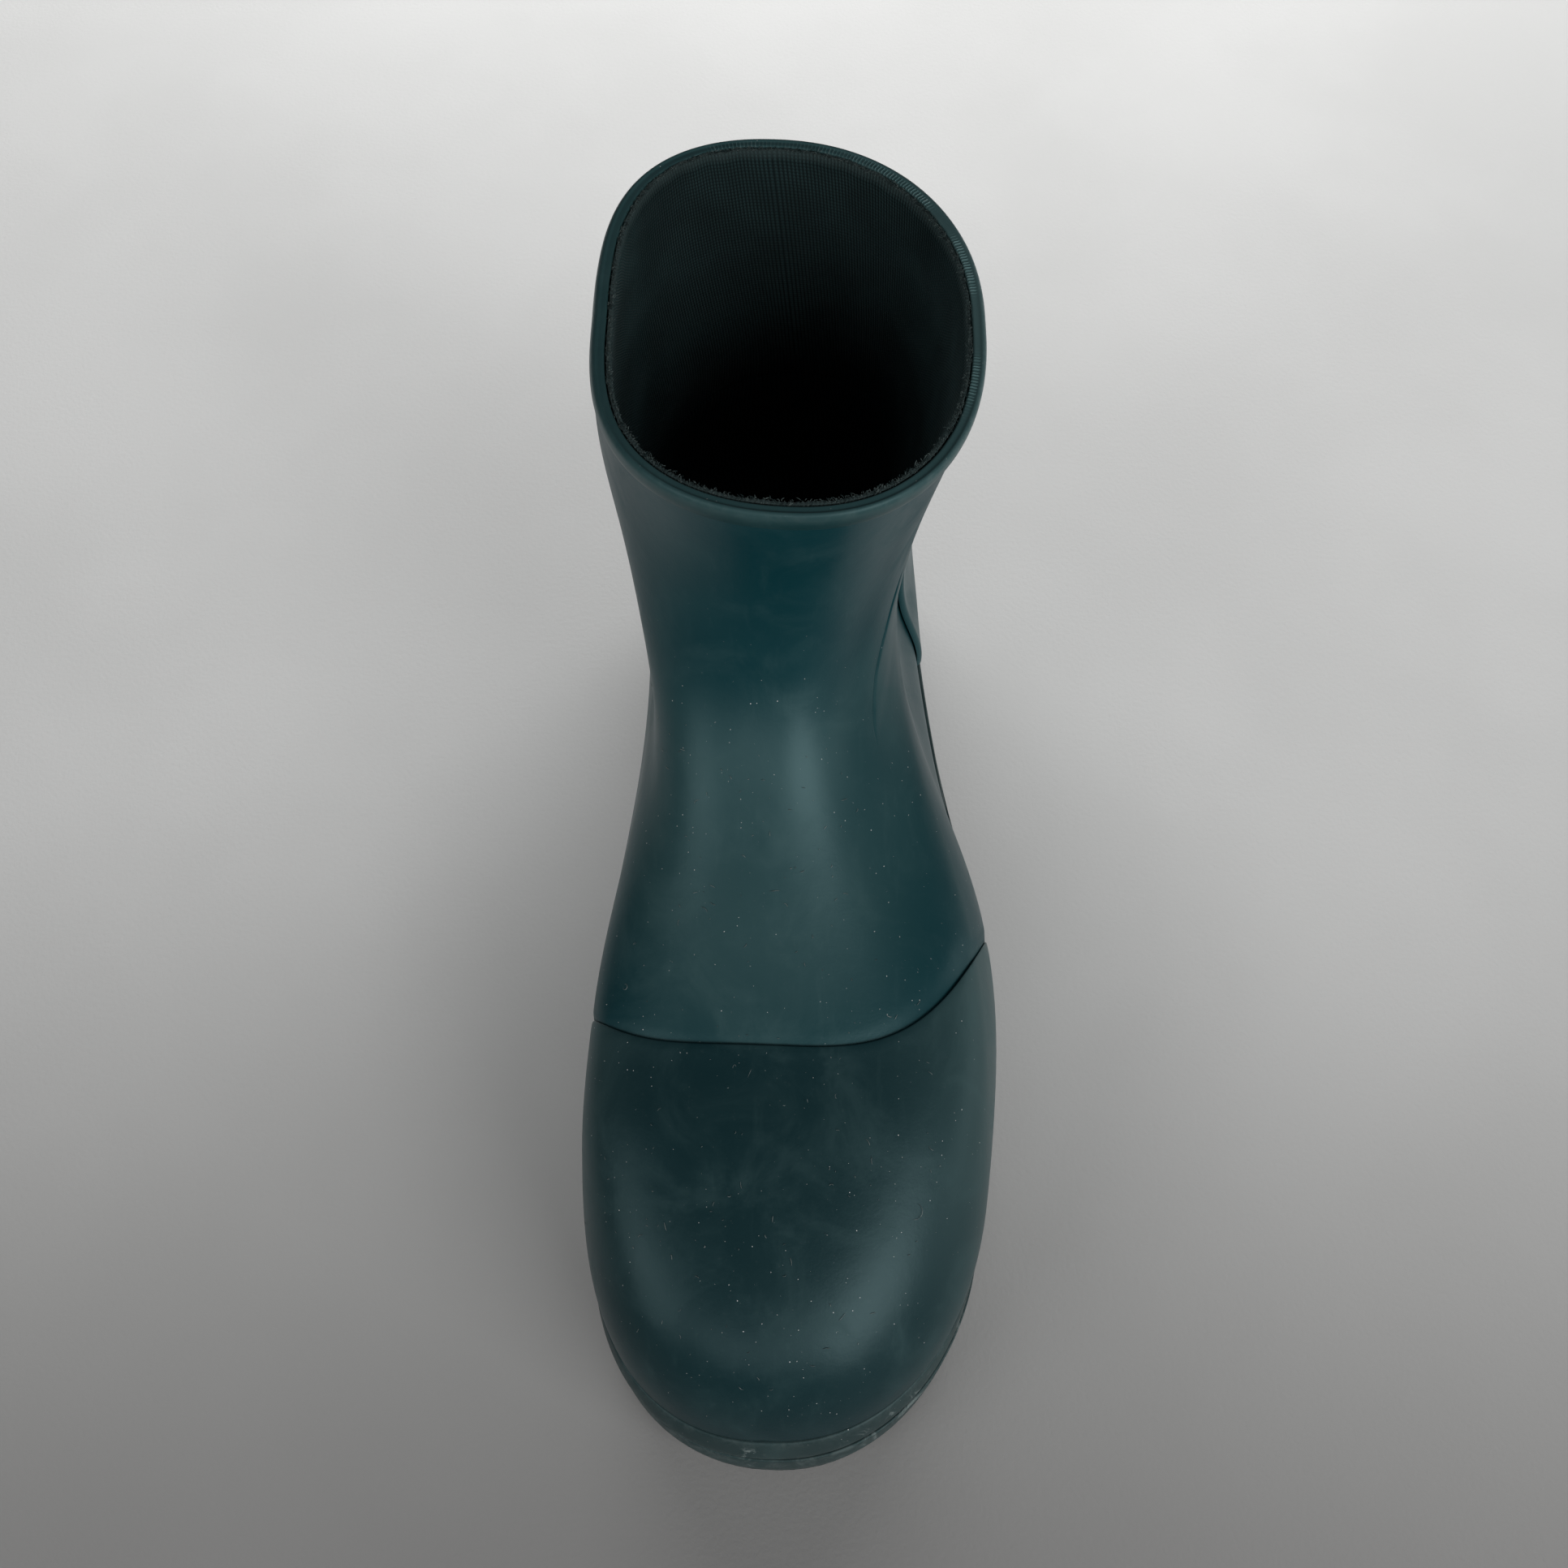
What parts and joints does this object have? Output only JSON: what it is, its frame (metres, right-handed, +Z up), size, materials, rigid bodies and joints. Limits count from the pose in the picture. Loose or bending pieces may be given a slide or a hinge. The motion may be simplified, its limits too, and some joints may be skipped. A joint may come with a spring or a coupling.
{
  "type": "rubber rain boot",
  "caption": "Left ankle-height rubber rain boot with toe cap, heel counter, foxed sole with low heel, knit lining and loose footbed.",
  "frame": {"origin": "middle of the footprint on the ground", "axes": "+Z up, toe towards -Y, heel towards +Y, outer side of the foot towards +X"},
  "size_m": [0.106, 0.3016, 0.1817],
  "materials": {
    "upper_rubber": "satin matte, faint bloom haze",
    "trim_rubber": "matte, scuffed along the edge",
    "sole_rubber": "matte, worn",
    "lining_knit": "ribbed cotton knit",
    "stiffener_board": "pressed fibre board",
    "sponge_rubber": "open sponge",
    "footbed_foam": "closed-cell foam",
    "shank_steel": "rolled strip"
  },
  "bodies": {
    "root": {"upper_shell": "upper_rubber", "toe_cap": "upper_rubber", "heel_counter": "upper_rubber", "rim_band": "trim_rubber", "foxing_band": "trim_rubber", "bumper_strip": "trim_rubber", "outsole": "sole_rubber", "heel_block": "sole_rubber", "heel_top_piece": "sole_rubber", "midsole_filler": "sponge_rubber", "shank": "shank_steel", "insole_board": "stiffener_board", "footbed_foam": "footbed_foam", "footbed_cover": "lining_knit", "foot_lining": "lining_knit", "leg_lining": "lining_knit", "toe_puff": "stiffener_board", "heel_stiffener": "stiffener_board"}
  },
  "joints": []
}
